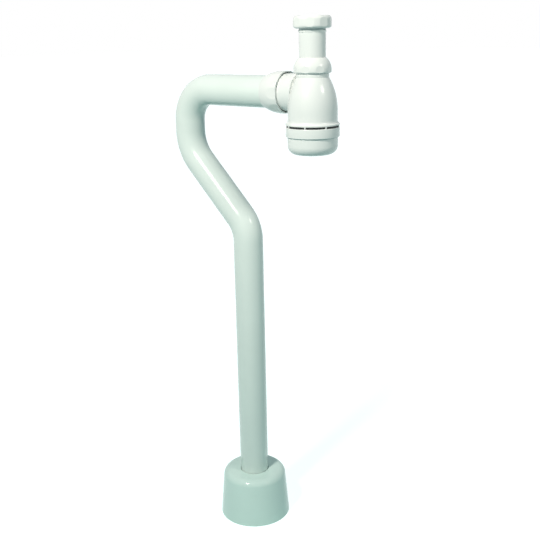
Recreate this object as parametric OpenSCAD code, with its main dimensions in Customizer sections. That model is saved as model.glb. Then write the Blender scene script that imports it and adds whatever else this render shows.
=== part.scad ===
// Bottle trap for a washbasin, with a bent waste pipe that runs down to the floor
// and a tapered cover over the place where the pipe enters the floor.
// Millimetres, +Z up. The origin is on the floor, on the axis of the pipe's lower run.
// The bottle stands on the +X side, and the outlet arm and all the bends lie in the XZ plane.

/* [Waste pipe] */
// Outside diameter of the waste pipe
pipe_d = 40; // [39.5:0.1:40.5]
// Wall thickness of the waste pipe
pipe_wall = 1.8; // [1.5:0.1:2.4]
// Height of the outlet axis above the floor
outlet_h = 611; // [600:1:680]
// Sideways reach of the upper leg from the lower run
leg_reach = 99; // [80:1:104]
// Height of the corner where the lower run turns into the slanting run
corner_h = 432; // [400:1:436]
// Slant of the middle run from the vertical, in degrees
slant = 45; // [40:1:50]
// Centre-line radius of the bend above the lower run
foot_bend_r = 45; // [42:1:55]
// Centre-line radius of the bend between the slanting run and the upper leg
leg_bend_r = 58; // [48:1:60]
// Centre-line radius of the elbow into the outlet arm
elbow_r = 42; // [38:1:44]

/* [Bottle] */
// Distance from the lower run's axis to the bottle's axis
bottle_reach = 108; // [100:1:130]
// Outside diameter of the barrel
barrel_d = 61; // [60:0.5:62]
// Wall thickness of the bottle
bottle_wall = 2.2; // [1.8:0.1:2.4]
// Radius of the arc that draws the shoulder in to the neck
shoulder_r = 80; // [76:1:90]
// Diameter of the flange that closes on the cup
flange_d = 66.4; // [65.8:0.2:67]
// Diameter of the neck over its thread
neck_d = 39.8; // [39.4:0.1:40]
// Diameter of the outlet branch over its thread
branch_d = 45.6; // [45.2:0.1:45.8]

/* [Cup] */
// Diameter of the cup's threaded band
band_d = 65.8; // [65:0.2:66.4]
// Height of the threaded band
band_h = 11.6; // [10:0.2:12.4]
// Diameter of the bowl under the band
bowl_d = 61.8; // [61:0.2:63]
// Height of the whole cup
cup_h = 32.9; // [30:0.1:36]
// Rounding between the bowl's side and its floor
bowl_round = 11; // [8:0.5:12]
// Wall thickness of the bowl
cup_wall = 2.1; // [1.8:0.1:2.4]
// Thickness of the black sealing ring between bottle and cup
cup_seal_t = 2.7; // [2:0.1:3]
// Number of nibs that centre the sealing ring
nib_count = 8; // [6:1:12]

/* [Tail pipe] */
// Outside diameter of the tail pipe
tail_d = 32; // [31.9:0.1:32.1]
// Wall thickness of the tail pipe
tail_wall = 1.8; // [1.5:0.1:2.2]
// Height of the tail pipe's rim above the outlet axis
tail_rise = 79.7; // [74:0.1:100]
// Depth of the tail pipe's lower end below the outlet axis
tail_dip = 55; // [40:1:60]

/* [Nuts] */
// Number of flats on each nut
nut_sides = 8; // [6:1:10]
// Diameter of the inlet and neck nuts over their corners
nut_d = 45.8; // [45.4:0.1:48]
// Distance between opposite flats of the inlet and neck nuts
nut_flats = 44.6; // [44.2:0.1:46]
// Height of the inlet nut
inlet_nut_h = 14.3; // [14:0.1:16]
// Height of the neck nut
neck_nut_h = 18; // [17.6:0.1:18.4]
// Bore of the inlet and neck nuts at the pitch line of their threads
nut_bore_d = 40.4; // [40.4:0.1:40.8]
// Diameter of the outlet nut over its corners
outlet_nut_d = 52.4; // [52:0.1:54]
// Distance between opposite flats of the outlet nut
outlet_nut_flats = 50.6; // [50.2:0.1:52]
// Length of the outlet nut
outlet_nut_l = 29.5; // [29:0.1:31]

/* [Floor cover] */
// Diameter of the cover at the floor
cover_d = 100.6; // [90:0.2:120]
// Height of the cover
cover_h = 68; // [50:1:90]
// Taper of the cover's side, in degrees
cover_taper = 5; // [2:0.5:8]
// Rounding of the cover's shoulder
cover_round = 9.5; // [5:0.5:12]
// Wall thickness of the cover
cover_wall = 2; // [1.6:0.1:3]
// Gap between the cover's hole and the pipe
cover_gap = 0.4; // [0.3:0.1:1.5]

/* [Hidden] */
$fn = 96;

// Colours
white = [0.95, 0.97, 0.95];
shade_white = [0.86, 0.91, 0.88];
black = [0.06, 0.07, 0.07];
grey = [0.45, 0.47, 0.47];

// Radii
pipe_r = pipe_d / 2;
tail_r = tail_d / 2;
barrel_r = barrel_d / 2;
flange_r = flange_d / 2;
neck_r = neck_d / 2;
branch_r = branch_d / 2;
band_r = band_d / 2;
bowl_r = bowl_d / 2;
nut_r = nut_d / 2;
nut_bore_r = nut_bore_d / 2;
outlet_nut_r = outlet_nut_d / 2;
cover_r = cover_d / 2;

// How far cutters reach past the faces that they open
over = 1;
// The pipe is formed a little slimmer in its bends, and each straight run laps over them
bend_draw = 0.15;
bend_lap = 0.5;
// Working gaps: round pieces that turn or slide, and pieces that are clamped
turn_gap = 0.4;
slip_gap = 0.3;
pinch_gap = 0.2;

// Heights on the bottle's axis
rim_z = outlet_h + tail_rise;
tail_foot_z = outlet_h - tail_dip;
neck_top_z = outlet_h + 33;
collar_top_z = outlet_h + 21.6;
collar_foot_z = outlet_h + 12;
shoulder_foot_z = outlet_h - 21;
flange_foot_z = outlet_h - 37.4;
spigot_foot_z = outlet_h - 51;
cup_top_z = flange_foot_z - cup_seal_t;
cup_foot_z = cup_top_z - cup_h;

// Tail pipe: the flange at its rim, and the bead that keeps the loose nut up
rim_r = 19.2;
rim_t = 2;
bead_r = 16.7;
bead_h = 2.6;
bead_drop = 9.6;

// Inlet nut: the lip under the flange, the plain pocket above it and the thread
lip_t = 3;
lip_r = 17.1;
pocket_r = 19.6;
pocket_h = 4.6;
nut_top_round = 5;
nut_top_drop = 4.4;
nut_foot_round = 3.8;
washer_t = 2;
inlet_nut_z = rim_z - rim_t - slip_gap - lip_t;

// Neck nut: starts above the bottle's collar, and its top closes on the slip ring
neck_nut_z = collar_top_z + 1.8;
neck_dome_r = 18;
neck_dome_z = 4.2;
neck_foot_round = 2.5;
neck_mouth_r = 18.5;
neck_cone_h = 3;
neck_seal_top = 2.5;
slip_ring_t = 1.2;
slip_ring_r = 19.4;
neck_crown_z = neck_top_z + neck_seal_top + slip_ring_t;

// Bottle: barrel flange, threaded spigot, nibs and branch
collar_r = 20.1;
spigot_r = 29.2;
spigot_wall = 2;
flare_r = 4.2;
flare_top_z = flange_foot_z + 5.4;
nib_w = 1.4;
nib_t = 1;
nib_h = 2.3;
nib_turn = 19.5;
branch_mouth_x = bottle_reach - 52;
branch_stop_x = bottle_reach - 33;
branch_root_x = bottle_reach - 18;
branch_way_x = bottle_reach - 12;
branch_way_r = 17.6;
branch_cone_h = 4;
branch_cone_r = 21.5;

// Cup
cup_bore_r = spigot_r + turn_gap;
band_round = 0.9;
bore_depth = 12.9;

// Outlet nut, drawn along +Z from its pipe end, then laid over
outlet_nut_x = branch_mouth_x - 15;
outlet_dome_r = 62.5;
outlet_dome_l = 25;
outlet_round = 0.8;
outlet_crown = 7.5;
outlet_pocket_r = 22.2;
outlet_pocket_h = 5.5;
outlet_bore_r = branch_r + slip_gap;
outlet_flare_l = 4.5;
outlet_flare_r = 24.3;
outlet_ring_r = 22;
outlet_seal_mid = 3.4;

// Waste pipe: rise of the slanting run, and how far each bend reaches along its runs
slant_rise = leg_reach / tan(slant);
foot_reach = foot_bend_r * tan(slant / 2);
leg_bend_reach = leg_bend_r * tan(slant / 2);
slant_len = leg_reach / sin(slant) - foot_reach - leg_bend_reach;
foot_top_z = corner_h - foot_reach;
leg_foot_z = corner_h + slant_rise + leg_bend_reach;
elbow_z = outlet_h - elbow_r;
pipe_end_x = branch_stop_x - 0.5;

// Rounds the outer top corner of an outline, placed at the centre of the round
module corner_cut(r) {
    difference() {
        square(r + over);
        circle(r);
    }
}

// Half outline of a round body, drawn in by an arc towards each end. Each arc leaves
// the straight side at the height given for its centre.
module nut_outline(r, h, top_round, top_z, foot_round, foot_z) {
    difference() {
        square([r, h]);
        translate([r - top_round, top_z]) corner_cut(top_round);
        translate([r - foot_round, foot_z]) mirror([0, 1]) corner_cut(foot_round);
    }
}

// Round body of a nut, with its flats cut by a straight prism
module nut_body(flats, h, turn) {
    intersection() {
        rotate_extrude() children();
        rotate([0, 0, turn]) cylinder(h = h, r = flats / 2 / cos(180 / nut_sides), $fn = nut_sides);
    }
}

// Places a piece on the bottle's axis at height z
module on_axis(z) {
    translate([bottle_reach, 0, z]) children();
}

// Lays a piece drawn along +Z onto the outlet axis, from x towards the bottle
module on_outlet(x) {
    translate([x, 0, outlet_h]) rotate([0, 90, 0]) children();
}

// Ring with a plain section
module flat_ring(inner, outer, h) {
    rotate_extrude() translate([inner, 0]) square([outer - inner, h]);
}

// Wedge-shaped rubber ring: a cone below, which enters its seat, and a flat band above
module wedge_ring(inner, toe, heel, cone_h, band, band_h) {
    rotate_extrude() polygon([
        [inner, 0], [toe, 0], [heel, cone_h], [band, cone_h],
        [band, cone_h + band_h], [inner, cone_h + band_h]
    ]);
}

module inlet_nut() {
    color(white) on_axis(inlet_nut_z) difference() {
        nut_body(nut_flats, inlet_nut_h, 5)
            nut_outline(nut_r, inlet_nut_h, nut_top_round, inlet_nut_h - nut_top_drop,
                nut_foot_round, nut_foot_round);
        translate([0, 0, -over]) cylinder(h = inlet_nut_h, r = lip_r);
        translate([0, 0, lip_t]) cylinder(h = inlet_nut_h, r = pocket_r);
        translate([0, 0, lip_t + pocket_h]) cylinder(h = inlet_nut_h, r = nut_bore_r);
    }
}

module inlet_washer() {
    color(black) on_axis(rim_z) flat_ring(tail_r - tail_wall, rim_r, washer_t);
}

module tail_pipe() {
    color(white) on_axis(0) rotate_extrude() difference() {
        union() {
            translate([0, tail_foot_z]) square([tail_r, rim_z - tail_foot_z]);
            translate([0, rim_z - rim_t]) square([rim_r, rim_t]);
            translate([0, rim_z - bead_drop]) square([bead_r, bead_h]);
        }
        translate([0, tail_foot_z - over])
            square([tail_r - tail_wall, rim_z - tail_foot_z + 2 * over]);
    }
}

module neck_nut() {
    crown = neck_crown_z - neck_nut_z;
    color(white) on_axis(neck_nut_z) difference() {
        nut_body(nut_flats, neck_nut_h, -9)
            nut_outline(nut_r, neck_nut_h, neck_dome_r, neck_dome_z, neck_foot_round, neck_foot_round);
        translate([0, 0, -over]) cylinder(h = crown + over, r = nut_bore_r);
        cylinder(h = neck_nut_h + over, r = tail_r + slip_gap);
    }
}

module neck_slip_ring() {
    color(grey) on_axis(neck_top_z + neck_seal_top)
        flat_ring(tail_r + pinch_gap, slip_ring_r, slip_ring_t);
}

module neck_seal() {
    color(black) on_axis(neck_top_z - neck_cone_h)
        wedge_ring(tail_r, tail_r + 0.4, neck_mouth_r - 0.1, neck_cone_h, slip_ring_r, neck_seal_top);
}

// Half outline of the bottle's outer skin, about its own axis
module bottle_skin() {
    intersection() {
        translate([barrel_r - shoulder_r, shoulder_foot_z]) circle(shoulder_r, $fn = 360);
        translate([0, shoulder_foot_z]) square([barrel_r, collar_top_z - shoulder_foot_z]);
    }
    translate([0, collar_foot_z]) square([collar_r, collar_top_z - collar_foot_z]);
    translate([0, collar_foot_z]) square([neck_r, neck_top_z - collar_foot_z]);
    translate([0, flange_foot_z]) square([barrel_r, shoulder_foot_z - flange_foot_z]);
    difference() {
        translate([0, flange_foot_z]) square([flange_r, flare_top_z - flange_foot_z]);
        translate([barrel_r + flare_r, flare_top_z]) circle(flare_r);
    }
    translate([0, spigot_foot_z]) square([spigot_r, flange_foot_z - spigot_foot_z + over]);
}

// Half outline of the space inside the bottle
module bottle_space() {
    inner_r = barrel_r - bottle_wall;
    roof_z = collar_top_z - 3.6;
    intersection() {
        translate([barrel_r - shoulder_r, shoulder_foot_z])
            circle(shoulder_r - bottle_wall, $fn = 360);
        translate([0, shoulder_foot_z]) square([inner_r, roof_z - shoulder_foot_z]);
    }
    translate([0, flange_foot_z + 2]) square([inner_r, shoulder_foot_z - flange_foot_z - 2]);
    translate([0, spigot_foot_z - over])
        square([spigot_r - spigot_wall, flange_foot_z - spigot_foot_z + 3 + over]);
    translate([0, collar_foot_z]) square([tail_r + turn_gap, neck_top_z - collar_foot_z + over]);
    polygon([
        [0, neck_top_z - neck_cone_h], [tail_r + turn_gap, neck_top_z - neck_cone_h],
        [neck_mouth_r, neck_top_z], [neck_mouth_r, neck_top_z + over], [0, neck_top_z + over]
    ]);
}

module bottle() {
    branch_len = branch_root_x - branch_mouth_x;
    socket_len = branch_stop_x - branch_mouth_x;
    color(white) {
        difference() {
            union() {
                on_axis(0) rotate_extrude() bottle_skin();
                on_outlet(branch_mouth_x) cylinder(h = branch_len, r = branch_r);
            }
            on_axis(0) rotate_extrude() bottle_space();
            on_outlet(branch_mouth_x - over) cylinder(h = socket_len + over, r = pipe_r + slip_gap);
            on_outlet(branch_mouth_x)
                cylinder(h = branch_cone_h, r1 = branch_cone_r, r2 = pipe_r + slip_gap);
            on_outlet(branch_stop_x - over)
                cylinder(h = branch_way_x - branch_stop_x + over, r = branch_way_r);
        }
        for (k = [0 : nib_count - 1])
            on_axis(flange_foot_z - nib_h) rotate([0, 0, nib_turn + k * 360 / nib_count])
                translate([flange_r - nib_t - 0.1, -nib_w / 2, 0]) cube([nib_t, nib_w, nib_h + over]);
    }
}

module cup_seal() {
    color(black) on_axis(cup_top_z)
        flat_ring(spigot_r + slip_gap, flange_r - nib_t - 0.1 - pinch_gap, cup_seal_t);
}

module cup() {
    band_foot = cup_h - band_h;
    color(white) on_axis(cup_foot_z) rotate_extrude() difference() {
        union() {
            translate([0, band_foot])
                nut_outline(band_r, band_h, band_round, band_h - band_round, band_round, band_round);
            translate([0, bowl_round]) square([bowl_r, band_foot - bowl_round + over]);
            square([bowl_r - bowl_round, bowl_round]);
            intersection() {
                translate([bowl_r - bowl_round, bowl_round]) circle(bowl_round);
                square([bowl_r, bowl_round]);
            }
        }
        translate([0, cup_h - bore_depth]) square([cup_bore_r, bore_depth + over]);
        translate([0, bowl_round]) square([bowl_r - cup_wall, band_foot - bowl_round + over]);
        translate([0, cup_wall]) square([bowl_r - bowl_round, bowl_round]);
        intersection() {
            translate([bowl_r - bowl_round, bowl_round]) circle(bowl_round - cup_wall);
            square([bowl_r, bowl_round]);
        }
    }
}

module outlet_nut() {
    color(white) on_outlet(outlet_nut_x) difference() {
        nut_body(outlet_nut_flats, outlet_nut_l, 22.5)
            nut_outline(outlet_nut_r, outlet_nut_l, outlet_round, outlet_nut_l - outlet_round,
                outlet_dome_r, outlet_dome_l);
        translate([0, 0, -over]) cylinder(h = outlet_nut_l, r = pipe_r + slip_gap);
        translate([0, 0, outlet_crown]) cylinder(h = outlet_nut_l, r = outlet_pocket_r);
        translate([0, 0, outlet_crown + outlet_pocket_h])
            cylinder(h = outlet_nut_l, r = outlet_bore_r);
        translate([0, 0, outlet_nut_l - outlet_flare_l])
            cylinder(h = outlet_flare_l + 0.1, r1 = outlet_bore_r, r2 = outlet_flare_r);
    }
}

module outlet_slip_ring() {
    color(grey) on_outlet(outlet_nut_x + outlet_crown)
        flat_ring(pipe_r + pinch_gap, outlet_ring_r, slip_ring_t);
}

module outlet_seal() {
    band_x = outlet_nut_x + outlet_crown + slip_ring_t;
    band_l = branch_mouth_x - band_x;
    color(black) on_outlet(branch_mouth_x + outlet_seal_mid) mirror([0, 0, 1])
        wedge_ring(pipe_r, pipe_r + 0.4, branch_cone_r - 0.1, outlet_seal_mid, outlet_ring_r, band_l);
}

// Straight round bar from the origin along +Z, lapping over the bends at its ends
module run(len, r, lap_start, lap_end) {
    translate([0, 0, -lap_start]) cylinder(h = lap_start + len + lap_end, r = r);
}

// Bend about (x, z) in the XZ plane, from angle a through sweep degrees
module bend(x, z, bend_r, a, sweep, r) {
    translate([x, 0, z]) rotate([90, 0, 0])
        rotate_extrude(angle = sweep, start = a) translate([bend_r, 0]) circle(r - bend_draw);
}

// Bar that follows the pipe's centre line from the floor to the bottle
module pipe_path(r, past_ends) {
    slant_x = -foot_bend_r * (1 - cos(slant));
    slant_z = foot_top_z + foot_bend_r * sin(slant);
    arm_x = elbow_r - leg_reach;
    run(foot_top_z, r, past_ends, bend_lap);
    bend(-foot_bend_r, foot_top_z, foot_bend_r, 0, slant, r);
    translate([slant_x, 0, slant_z]) rotate([0, -slant, 0]) run(slant_len, r, bend_lap, bend_lap);
    bend(leg_bend_r - leg_reach, leg_foot_z, leg_bend_r, 180, slant, r);
    translate([-leg_reach, 0, leg_foot_z]) run(elbow_z - leg_foot_z, r, bend_lap, bend_lap);
    bend(arm_x, elbow_z, elbow_r, 90, 90, r);
    on_outlet(arm_x) run(pipe_end_x - arm_x, r, bend_lap, past_ends);
}

module waste_pipe() {
    color(shade_white) difference() {
        pipe_path(pipe_r, 0);
        pipe_path(pipe_r - pipe_wall, over);
    }
}

// Half outline of the cover: a tapered side with a round shoulder
module cover_outline(base_r, h, round) {
    lean = tan(cover_taper);
    round_x = base_r - lean * (h - round) - round / cos(cover_taper);
    round_z = h - round;
    side = [round_x + round * cos(cover_taper), round_z + round * sin(cover_taper)];
    polygon([[0, 0], [base_r, 0], side, [round_x, round_z], [0, round_z]]);
    translate([round_x, round_z]) intersection() {
        circle(round);
        rotate(cover_taper) square(2 * round);
    }
    translate([round_x, round_z]) intersection() {
        circle(round);
        square(2 * round);
    }
    square([round_x, h]);
}

module floor_cover() {
    wall_x = cover_wall / cos(cover_taper);
    color(shade_white) difference() {
        rotate_extrude() difference() {
            cover_outline(cover_r, cover_h, cover_round);
            translate([0, -over]) cover_outline(cover_r - wall_x + over * tan(cover_taper),
                cover_h - cover_wall + over, cover_round - cover_wall);
        }
        cylinder(h = cover_h + over, r = pipe_r + cover_gap);
    }
}

inlet_nut();
inlet_washer();
tail_pipe();
neck_nut();
neck_slip_ring();
neck_seal();
bottle();
cup_seal();
cup();
outlet_nut();
outlet_slip_ring();
outlet_seal();
waste_pipe();
floor_cover();
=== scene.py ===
import math

import bmesh
import bpy
from mathutils import Matrix, Vector


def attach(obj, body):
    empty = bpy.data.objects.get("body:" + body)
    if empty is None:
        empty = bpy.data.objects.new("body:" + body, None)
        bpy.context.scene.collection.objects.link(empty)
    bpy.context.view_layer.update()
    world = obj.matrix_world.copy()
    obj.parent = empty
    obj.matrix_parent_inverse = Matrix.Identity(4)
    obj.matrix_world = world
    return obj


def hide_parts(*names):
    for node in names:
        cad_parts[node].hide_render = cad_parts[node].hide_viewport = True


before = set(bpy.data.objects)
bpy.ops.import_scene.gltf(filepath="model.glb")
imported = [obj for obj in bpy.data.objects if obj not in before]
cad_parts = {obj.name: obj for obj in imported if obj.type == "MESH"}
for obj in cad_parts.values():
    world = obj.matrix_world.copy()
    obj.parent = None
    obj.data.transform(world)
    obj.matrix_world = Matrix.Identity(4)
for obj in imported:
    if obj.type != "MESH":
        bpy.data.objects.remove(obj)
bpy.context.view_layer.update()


# Camera and studio. The camera stands to the right of the outlet arm and looks a little down on it.
# A pale floor runs out to a white surround. The key lamp hangs in front of the outlet arm and a weaker
# one at its bottle end, and the surround that fills the shadows is a cool green.
camera_place = Vector((0.6785, -0.7922, 0.6782))
camera_yaw = math.radians(-39.01)
camera_pitch = math.radians(16.45)
camera_roll = math.radians(1.14)
focal_pixels = 793.6
image_pixels = 540
sensor_mm = 36

lens = bpy.data.cameras.new("camera")
lens.sensor_width = sensor_mm
lens.lens = focal_pixels / image_pixels * sensor_mm
camera = bpy.data.objects.new("camera", lens)
bpy.context.scene.collection.objects.link(camera)
ahead = Vector((
    math.sin(camera_yaw) * math.cos(camera_pitch),
    math.cos(camera_yaw) * math.cos(camera_pitch),
    -math.sin(camera_pitch),
))
look = ahead.to_track_quat("-Z", "Y").to_matrix().to_4x4()
camera.matrix_world = Matrix.Translation(camera_place) @ look @ Matrix.Rotation(-camera_roll, 4, "Z")
bpy.context.scene.camera = camera
bpy.context.scene.view_settings.view_transform = "Standard"

surround_colour = (0.48, 0.84, 0.90, 1)
surround_strength = 0.24
background_white = (1, 1, 1, 1)

world = bpy.data.worlds.new("studio")
world.use_nodes = True
bpy.context.scene.world = world
nodes, links = world.node_tree.nodes, world.node_tree.links
nodes.clear()
path = nodes.new("ShaderNodeLightPath")
mirrored = nodes.new("ShaderNodeMath")
mirrored.operation = "MAXIMUM"
links.new(path.outputs["Is Glossy Ray"], mirrored.inputs[0])
links.new(path.outputs["Is Transmission Ray"], mirrored.inputs[1])
seen = nodes.new("ShaderNodeMath")
seen.operation = "MAXIMUM"
links.new(path.outputs["Is Camera Ray"], seen.inputs[0])
links.new(mirrored.outputs["Value"], seen.inputs[1])
fill = nodes.new("ShaderNodeBackground")
fill.inputs["Color"].default_value = surround_colour
fill.inputs["Strength"].default_value = surround_strength
white = nodes.new("ShaderNodeBackground")
white.inputs["Color"].default_value = background_white
white.inputs["Strength"].default_value = 1
pick = nodes.new("ShaderNodeMixShader")
links.new(seen.outputs["Value"], pick.inputs["Fac"])
links.new(fill.outputs["Background"], pick.inputs[1])
links.new(white.outputs["Background"], pick.inputs[2])
out = nodes.new("ShaderNodeOutputWorld")
links.new(pick.outputs["Shader"], out.inputs["Surface"])

floor_half = 30
floor_glow = 0.84
floor_far_glow = 1.0
floor_colour = (0.48, 0.68, 0.66, 1)
floor_plain_from = 0.35
floor_plain_to = 1.0

bm = bmesh.new()
bmesh.ops.create_grid(bm, x_segments=1, y_segments=1, size=floor_half)
mesh = bpy.data.meshes.new("floor")
bm.to_mesh(mesh)
bm.free()
floor = bpy.data.objects.new("floor", mesh)
bpy.context.scene.collection.objects.link(floor)
floor_paint = bpy.data.materials.new("floor_paint")
floor_paint.use_nodes = True
nodes, links = floor_paint.node_tree.nodes, floor_paint.node_tree.links
nodes.clear()
matt = nodes.new("ShaderNodeBsdfDiffuse")
matt.inputs["Color"].default_value = floor_colour
glow = nodes.new("ShaderNodeEmission")
glow.inputs["Color"].default_value = background_white
place = nodes.new("ShaderNodeTexCoord")
away = nodes.new("ShaderNodeVectorMath")
away.operation = "LENGTH"
links.new(place.outputs["Object"], away.inputs[0])
level = nodes.new("ShaderNodeMapRange")
level.inputs["From Min"].default_value = floor_plain_from
level.inputs["From Max"].default_value = floor_plain_to
level.inputs["To Min"].default_value = floor_glow
level.inputs["To Max"].default_value = floor_far_glow
links.new(away.outputs["Value"], level.inputs["Value"])
path = nodes.new("ShaderNodeLightPath")
mirrored = nodes.new("ShaderNodeMath")
mirrored.operation = "MAXIMUM"
links.new(path.outputs["Is Glossy Ray"], mirrored.inputs[0])
links.new(path.outputs["Is Transmission Ray"], mirrored.inputs[1])
seen = nodes.new("ShaderNodeMath")
seen.operation = "MAXIMUM"
links.new(path.outputs["Is Camera Ray"], seen.inputs[0])
links.new(mirrored.outputs["Value"], seen.inputs[1])
shine = nodes.new("ShaderNodeMath")
shine.operation = "MULTIPLY"
links.new(level.outputs["Result"], shine.inputs[1])
links.new(seen.outputs["Value"], shine.inputs[0])
links.new(shine.outputs["Value"], glow.inputs["Strength"])
both = nodes.new("ShaderNodeAddShader")
links.new(matt.outputs["BSDF"], both.inputs[0])
links.new(glow.outputs["Emission"], both.inputs[1])
out = nodes.new("ShaderNodeOutputMaterial")
links.new(both.outputs["Shader"], out.inputs["Surface"])
mesh.materials.append(floor_paint)


def hang_lamp(name, place, target, size, watts, colour):
    lamp = bpy.data.lights.new(name, "AREA")
    lamp.shape = "DISK"
    lamp.size = size
    lamp.energy = watts
    lamp.color = colour
    holder = bpy.data.objects.new(name, lamp)
    bpy.context.scene.collection.objects.link(holder)
    holder.location = place
    holder.rotation_mode = "QUATERNION"
    holder.rotation_quaternion = (Vector(target) - Vector(place)).to_track_quat("-Z", "Y")


hang_lamp("key_lamp", (0.10, -1.02, 1.32), (0, 0, 0.75), 0.2, 15, (1.0, 0.955, 0.88))
hang_lamp("side_lamp", (1.25, 0.08, 1.28), (0, 0, 0.6), 0.2, 4.5, (1.0, 0.955, 0.88))


# Waste pipe: one 40 mm plastic pipe, extruded straight and then formed hot into an elbow at the top
# and two bends below it. Its upper end is pushed into the bottle's branch and clamped there, and its
# lower end is cut square at the floor.
pipe_r = 0.020
pipe_wall = 0.0018
outlet_z = 0.611
leg_x = -0.099
corner_z = 0.432
slant = math.radians(45)
foot_bend_r = 0.045
leg_bend_r = 0.058
elbow_r = 0.042
pipe_end_x = 0.0745
pipe_sides = 96
bend_steps = 24
rim_bevel = 0.0005
plastic_shine = 0.36


def moulded_plastic(name, colour, roughness, grain):
    """White pipe plastic: a smooth gloss with a faint unevenness of tone, sheen and surface."""
    made = bpy.data.materials.new(name)
    made.use_nodes = True
    nodes, links = made.node_tree.nodes, made.node_tree.links
    shader = nodes["Principled BSDF"]
    shader.inputs["IOR"].default_value = 1.49
    shader.inputs["Specular IOR Level"].default_value = plastic_shine
    place = nodes.new("ShaderNodeTexCoord")
    cloud = nodes.new("ShaderNodeTexNoise")
    cloud.inputs["Scale"].default_value = 28
    cloud.inputs["Detail"].default_value = 3
    tone = nodes.new("ShaderNodeValToRGB")
    tone.color_ramp.elements[0].position = 0.3
    tone.color_ramp.elements[0].color = (*(c * 0.965 for c in colour), 1)
    tone.color_ramp.elements[1].position = 0.7
    tone.color_ramp.elements[1].color = (*colour, 1)
    gloss = nodes.new("ShaderNodeMapRange")
    gloss.inputs["To Min"].default_value = roughness - 0.05
    gloss.inputs["To Max"].default_value = roughness + 0.07
    skin = nodes.new("ShaderNodeTexNoise")
    skin.inputs["Scale"].default_value = grain
    skin.inputs["Detail"].default_value = 2
    bump = nodes.new("ShaderNodeBump")
    bump.inputs["Strength"].default_value = 0.25
    bump.inputs["Distance"].default_value = 0.00012
    links.new(place.outputs["Object"], cloud.inputs["Vector"])
    links.new(place.outputs["Object"], skin.inputs["Vector"])
    links.new(cloud.outputs["Fac"], tone.inputs["Fac"])
    links.new(tone.outputs["Color"], shader.inputs["Base Color"])
    links.new(cloud.outputs["Fac"], gloss.inputs["Value"])
    links.new(gloss.outputs["Result"], shader.inputs["Roughness"])
    links.new(skin.outputs["Fac"], bump.inputs["Height"])
    links.new(bump.outputs["Normal"], shader.inputs["Normal"])
    return made


def set_piece(bm, name, node, body, material, crease=30):
    """Makes the mesh an object in place of a solid of the frame. Edges sharper than crease stay crisp."""
    mesh = bpy.data.meshes.new(name)
    bm.to_mesh(mesh)
    bm.free()
    mesh.shade_smooth()
    mesh.set_sharp_from_angle(angle=math.radians(crease))
    mesh.materials.append(material)
    piece = bpy.data.objects.new(name, mesh)
    bpy.context.scene.collection.objects.link(piece)
    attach(piece, body)
    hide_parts(node)
    return piece


def pipe_skin(bm, radius):
    """Sweeps a circle along the pipe's centre line, and gives its first and last loops of edges."""
    start = bmesh.ops.create_circle(bm, segments=pipe_sides, radius=radius)["verts"]
    loop = list({e for v in start for e in v.link_edges})
    first = loop
    heading = Vector((0, 0, 1))
    at = Vector((0, 0, 0))

    def run(length):
        nonlocal loop, at
        grown = bmesh.ops.extrude_edge_only(bm, edges=loop)["geom"]
        moved = [g for g in grown if isinstance(g, bmesh.types.BMVert)]
        bmesh.ops.translate(bm, verts=moved, vec=heading * length)
        loop = [g for g in grown if isinstance(g, bmesh.types.BMEdge)
                and all(v in set(moved) for v in g.verts)]
        at = at + heading * length

    def bend(bend_r, turn):
        """Turns towards +X where turn is positive, and towards -X where it is negative."""
        nonlocal loop, at, heading
        across = Vector((heading.z, 0, -heading.x)) * math.copysign(1, turn)
        centre = at + across * bend_r
        verts = list({v for e in loop for v in e.verts})
        last = bmesh.ops.spin(bm, geom=loop + verts, cent=centre, axis=(0, 1, 0), angle=turn,
                              steps=bend_steps)["geom_last"]
        loop = [g for g in last if isinstance(g, bmesh.types.BMEdge)]
        swing = Matrix.Rotation(turn, 3, "Y")
        at = centre + swing @ (at - centre)
        heading = swing @ heading

    foot_reach = foot_bend_r * math.tan(slant / 2)
    leg_reach = leg_bend_r * math.tan(slant / 2)
    slant_rise = -leg_x / math.tan(slant)
    run(corner_z - foot_reach)
    bend(foot_bend_r, -slant)
    run(-leg_x / math.sin(slant) - foot_reach - leg_reach)
    bend(leg_bend_r, slant)
    run(outlet_z - elbow_r - (corner_z + slant_rise + leg_reach))
    bend(elbow_r, math.radians(90))
    run(pipe_end_x - elbow_r - leg_x)
    return first, loop


def pipe_piece():
    bm = bmesh.new()
    outer_foot, outer_end = pipe_skin(bm, pipe_r)
    inner_foot, inner_end = pipe_skin(bm, pipe_r - pipe_wall)
    bmesh.ops.bridge_loops(bm, edges=outer_foot + inner_foot)
    bmesh.ops.bridge_loops(bm, edges=outer_end + inner_end)
    bmesh.ops.recalc_face_normals(bm, faces=bm.faces)
    bmesh.ops.bevel(bm, geom=outer_foot + outer_end, offset=rim_bevel, offset_type="OFFSET",
                    segments=2, profile=0.5, affect="EDGES", material=-1)
    return bm


# The pipe's colour is a greyer, greener white than the bottle's: painted shade for the pipe running low
# and further from the lamps, where its shade turns mint. The real pipe is the same white plastic.
pipe_white_painted_shade = moulded_plastic("pipe_white_painted_shade", (0.835, 0.90, 0.86), 0.2, 420)
set_piece(pipe_piece(), "bent_waste_pipe", "waste_pipe", "trap", pipe_white_painted_shade)


# Floor cover: a thin tapered cap of the same plastic, moulded in one piece. It is open underneath,
# slides on the pipe and hides the hole in the floor.
lathe_steps = 128
arc_steps = 8


def arc(x, z, radius, start, end, steps=arc_steps):
    """Points of an arc in an outline, with its angles in degrees."""
    turns = (math.radians(start + (end - start) * k / steps) for k in range(steps + 1))
    return [(x + radius * math.cos(t), z + radius * math.sin(t)) for t in turns]


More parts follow.
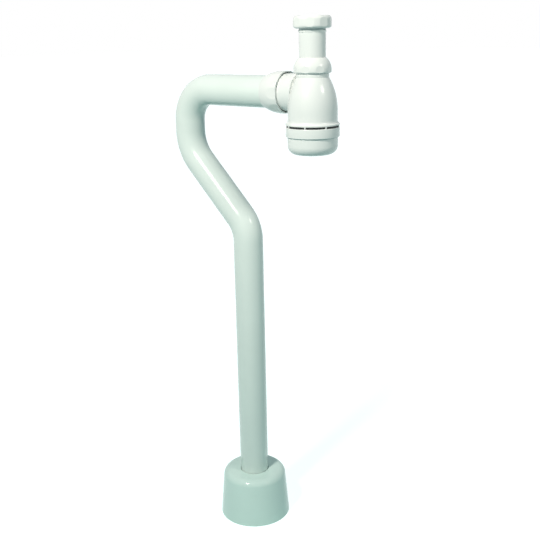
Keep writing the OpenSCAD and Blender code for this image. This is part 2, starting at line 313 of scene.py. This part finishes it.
def turned(outline, closed=True):
    """Spins an outline of (radius, height) points about Z. An open one starts and ends on the axis."""
    bm = bmesh.new()
    ring = [bm.verts.new((x, 0, z)) for x, z in outline]
    edges = [bm.edges.new((a, b)) for a, b in zip(ring, ring[1:])]
    if closed:
        edges.append(bm.edges.new((ring[-1], ring[0])))
    bmesh.ops.spin(bm, geom=ring + edges, cent=(0, 0, 0), axis=(0, 0, 1), angle=2 * math.pi,
                   steps=lathe_steps, use_merge=True)
    bmesh.ops.remove_doubles(bm, verts=bm.verts, dist=1e-6)
    bmesh.ops.recalc_face_normals(bm, faces=bm.faces)
    return bm


cover_r = 0.05028
cover_h = 0.068
cover_taper = math.radians(5)
cover_round = 0.0095
cover_wall = 0.002
cover_gap = 0.0004
cover_lip_round = 0.0006


def cover_side(base_r, height, rounding):
    """Outline of one side of the cover's wall, from the floor up to the hole."""
    lean = math.tan(cover_taper)
    x = base_r - lean * (height - rounding) - rounding / math.cos(cover_taper)
    shoulder = arc(x, height - rounding, rounding, math.degrees(cover_taper), 90, 12)
    return [(base_r, 0), *shoulder]


def cover_piece():
    hole = pipe_r + cover_gap
    inside = cover_side(cover_r - cover_wall / math.cos(cover_taper), cover_h - cover_wall,
                        cover_round - cover_wall)
    lip = arc(hole + cover_lip_round, cover_h - cover_lip_round, cover_lip_round, 90, 180, 4)
    outline = cover_side(cover_r, cover_h, cover_round) + lip + [(hole, cover_h - cover_wall)]
    return turned(outline + inside[::-1])


# The cover's colour is a much darker mint than the bottle's white: painted shade for the cover lying low
# by the floor, far from the lamps. The real cover is the same white plastic.
cover_white_painted_shade = moulded_plastic("cover_white_painted_shade", (0.73, 0.89, 0.835), 0.13, 500)
set_piece(cover_piece(), "floor_cover_shell", "floor_cover", "floor_cover",
          cover_white_painted_shade)


# Bottle: moulded in one piece in white plastic, with its shoulder, threaded neck, side branch, flange
# and threaded spigot. The nibs under its flange keep the sealing ring in the middle.
bottle_x = 0.108
bottle_white = moulded_plastic("bottle_white", (0.89, 0.90, 0.88), 0.2, 500)


def repaint(node, material):
    """Gives a solid of the frame another material."""
    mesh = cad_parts[node].data
    mesh.materials.clear()
    mesh.materials.append(material)


repaint("bottle", bottle_white)


# Cup and its seal: the cup is moulded in the same white plastic and screws onto the spigot by hand.
# A flat black rubber ring lies on its rim and shows as a dark line under the flange.
cup_foot_z = 0.538
bowl_r = 0.0309
bowl_round = 0.011
bowl_wall = 0.0021
band_foot = 0.0213
band_r = 0.0329
band_round = 0.0009
cup_h = 0.0329
cup_bore_r = 0.0296
bore_foot = 0.020
cup_thread_pitch = 0.004
cup_thread_depth = 0.0003
thread_steps = 64
thread_root = 0.0002
nut_crease = 9
nut_sides = 8
nut_arc_steps = 12


def thread(bm, radius, depth, foot, pitch, turns):
    """Adds a helical ridge on a round wall: outwards where depth is positive, inwards otherwise."""
    root = radius - math.copysign(thread_root, depth)
    section = [(root, -0.32), (radius + depth, -0.12), (radius + depth, 0.12), (root, 0.32)]
    start = [bm.verts.new((x, 0, foot + z * pitch)) for x, z in section]
    ring = [bm.edges.new((a, b)) for a, b in zip(start, start[1:] + start[:1])]
    steps = round(thread_steps * turns)
    spun = bmesh.ops.spin(bm, geom=start + ring, cent=(0, 0, 0), axis=(0, 0, 1),
                          dvec=(0, 0, pitch * turns / steps), angle=2 * math.pi * turns,
                          steps=steps)["geom_last"]
    last = [g for g in spun if isinstance(g, bmesh.types.BMEdge)]
    bmesh.ops.contextual_create(bm, geom=ring)
    bmesh.ops.contextual_create(bm, geom=last)
    bmesh.ops.recalc_face_normals(bm, faces=bm.faces)


def stand(bm, height):
    """Moves a piece that was turned about Z onto the bottle's axis."""
    bmesh.ops.translate(bm, verts=bm.verts, vec=(bottle_x, 0, height))
    return bm


def cup_piece():
    middle = bowl_r - bowl_round
    outside = [(0, 0)] + arc(middle, bowl_round, bowl_round, -90, 0, 16)
    band = arc(band_r - band_round, band_foot + band_round, band_round, -90, 0, 6)
    rim = arc(band_r - band_round, cup_h - band_round, band_round, 0, 90, 6)
    bore = [(cup_bore_r, cup_h), (cup_bore_r, bore_foot), (bowl_r - bowl_wall, bore_foot)]
    inside = arc(middle, bowl_round, bowl_round - bowl_wall, 0, -90, 16) + [(0, bowl_wall)]
    bm = turned(outside + [(bowl_r, band_foot)] + band + rim + bore + inside, closed=False)
    thread(bm, cup_bore_r, -cup_thread_depth, bore_foot + 0.003, cup_thread_pitch, 2)
    return stand(bm, cup_foot_z)


cup_white = moulded_plastic("cup_white", (0.88, 0.895, 0.875), 0.2, 500)
seal_black = moulded_plastic("seal_black", (0.02, 0.022, 0.022), 0.5, 900)
set_piece(cup_piece(), "screwed_cup", "cup", "cup", cup_white, nut_crease)
repaint("cup_seal", seal_black)


# Outlet joint: a long nut over the branch clamps the waste pipe. It presses a thin grey ring against
# the wedge-shaped black seal. The nut is moulded with eight flats and is open towards the bottle.
outlet_nut_x = 0.041
outlet_nut_l = 0.0295
outlet_nut_r = 0.0262
outlet_flat = 0.0253
outlet_mouth_round = 0.0008
outlet_mouth_r = 0.0243
outlet_mouth_depth = 0.0045
outlet_bore_r = 0.0231
outlet_dome_r = 0.0625
outlet_dome_z = 0.025
outlet_pocket_r = 0.0222
outlet_pocket_z = 0.013
outlet_crown = 0.0075
outlet_way_r = 0.0203


def nut_side(r, h, top_round, top_z, foot_round, foot_z):
    """Outline of a nut's outside, drawn in by an arc towards each end."""
    low = math.degrees(math.asin(foot_z / foot_round))
    high = math.degrees(math.asin((h - top_z) / top_round))
    foot = arc(r - foot_round, foot_z, foot_round, -low, 0, nut_arc_steps)
    return foot + arc(r - top_round, top_z, top_round, 0, high, nut_arc_steps)


def cut_flats(bm, distance, turn):
    """Cuts the flats of a nut and closes them. The first one faces the given angle."""
    for k in range(nut_sides):
        angle = math.radians(turn + k * 360 / nut_sides)
        out = Vector((math.cos(angle), math.sin(angle), 0))
        everything = bm.verts[:] + bm.edges[:] + bm.faces[:]
        cut = bmesh.ops.bisect_plane(bm, geom=everything, plane_co=out * distance, plane_no=out,
                                     dist=1e-7, clear_outer=True)["geom_cut"]
        rim = [g for g in cut if isinstance(g, bmesh.types.BMEdge)]
        bmesh.ops.edgeloop_fill(bm, edges=rim)
    bmesh.ops.recalc_face_normals(bm, faces=bm.faces)


def outlet_nut_piece():
    outside = nut_side(outlet_nut_r, outlet_nut_l, outlet_mouth_round, outlet_nut_l - outlet_mouth_round,
                       outlet_dome_r, outlet_dome_z)
    mouth = [(outlet_mouth_r, outlet_nut_l), (outlet_bore_r, outlet_nut_l - outlet_mouth_depth),
             (outlet_bore_r, outlet_pocket_z)]
    pocket = [(outlet_pocket_r, outlet_pocket_z), (outlet_pocket_r, outlet_crown),
              (outlet_way_r, outlet_crown), (outlet_way_r, 0)]
    bm = turned(outside + mouth + pocket)
    cut_flats(bm, outlet_flat, 0)
    lay = Matrix.Translation((outlet_nut_x, 0, outlet_z)) @ Matrix.Rotation(math.radians(90), 4, "Y")
    bmesh.ops.transform(bm, matrix=lay, verts=bm.verts)
    return bm


nut_white = moulded_plastic("nut_white", (0.90, 0.905, 0.885), 0.22, 450)
ring_grey = moulded_plastic("ring_grey", (0.42, 0.44, 0.44), 0.4, 600)
set_piece(outlet_nut_piece(), "outlet_union_nut", "outlet_nut", "trap", nut_white,
          nut_crease)
repaint("outlet_slip_ring", ring_grey)
repaint("outlet_seal", seal_black)


# Neck joint: the same kind of nut, with a round crown, clamps the tail pipe in the bottle's neck.
neck_nut_z = 0.6344
neck_nut_h = 0.018
neck_crown = 0.0133
nut_r = 0.0229
nut_flat = 0.0223
nut_bore_r = 0.0202
neck_way_r = 0.0163
neck_dome_r = 0.018
neck_dome_z = 0.0042
neck_foot_round = 0.0025
neck_first_flat = 13.5


def neck_nut_piece():
    outside = nut_side(nut_r, neck_nut_h, neck_dome_r, neck_dome_z, neck_foot_round, neck_foot_round)
    inside = [(neck_way_r, neck_nut_h), (neck_way_r, neck_crown), (nut_bore_r, neck_crown),
              (nut_bore_r, 0)]
    bm = turned(outside + inside)
    cut_flats(bm, nut_flat, neck_first_flat)
    return stand(bm, neck_nut_z)


set_piece(neck_nut_piece(), "neck_union_nut", "neck_nut", "trap", nut_white, nut_crease)
repaint("neck_slip_ring", ring_grey)
repaint("neck_seal", seal_black)


# Tail pipe: extruded white pipe of 32 mm with a moulded flange on top and a bead that holds the loose
# nut up. It goes down through the neck and dips into the water in the bottle.
tail_r = 0.016
tail_bore_r = 0.0142
tail_foot_z = 0.556
tail_rim_z = 0.6907
bead_r = 0.0167
bead_foot_z = 0.6811
bead_top_z = 0.6837
flange_r = 0.0192
flange_foot_z = 0.6887
edge_round = 0.0005


def tail_piece():
    foot = [(tail_bore_r, tail_foot_z), (tail_r - edge_round, tail_foot_z),
            (tail_r, tail_foot_z + edge_round)]
    bead = [(tail_r, bead_foot_z), (bead_r, bead_foot_z + edge_round), (bead_r, bead_top_z - edge_round),
            (tail_r, bead_top_z)]
    flange = [(tail_r, flange_foot_z), (flange_r - edge_round, flange_foot_z)]
    edge = arc(flange_r - edge_round, tail_rim_z - edge_round, edge_round, 0, 90, 4)
    return turned(foot + bead + flange + [(flange_r, flange_foot_z + edge_round)] + edge
                  + [(tail_bore_r, tail_rim_z)])


tail_white = moulded_plastic("tail_white", (0.89, 0.90, 0.88), 0.2, 420)
set_piece(stand(tail_piece(), 0), "tail_pipe_with_flange", "tail_pipe", "trap",
          tail_white)


# Inlet nut and washer: a low loose nut with its thread inside, which hangs on the tail pipe's flange
# and screws onto the basin's waste. The flat rubber washer lies on the flange.
inlet_nut_z = 0.6854
inlet_nut_h = 0.0143
thread_pitch = 0.0023
thread_depth = 0.0006
thread_foot = 0.0086
inlet_top_round = 0.005
inlet_top_drop = 0.0044
inlet_foot_round = 0.0038
inlet_mouth = 0.0005
pocket_r = 0.0196
pocket_top = 0.0076
lip_r = 0.0171
lip_t = 0.003
inlet_first_flat = 27.5


def inlet_nut_piece():
    outside = nut_side(nut_r, inlet_nut_h, inlet_top_round, inlet_nut_h - inlet_top_drop,
                       inlet_foot_round, inlet_foot_round)
    thread_wall = [(nut_bore_r + inlet_mouth, inlet_nut_h), (nut_bore_r, inlet_nut_h - inlet_mouth),
                   (nut_bore_r, pocket_top)]
    pocket = [(pocket_r, pocket_top), (pocket_r, lip_t), (lip_r, lip_t), (lip_r, 0)]
    bm = turned(outside + thread_wall + pocket)
    cut_flats(bm, nut_flat, inlet_first_flat)
    thread(bm, nut_bore_r, -thread_depth, thread_foot, thread_pitch, 2)
    return stand(bm, inlet_nut_z)


set_piece(inlet_nut_piece(), "inlet_union_nut", "inlet_nut", "inlet_nut", nut_white,
          nut_crease)
repaint("inlet_washer", seal_black)
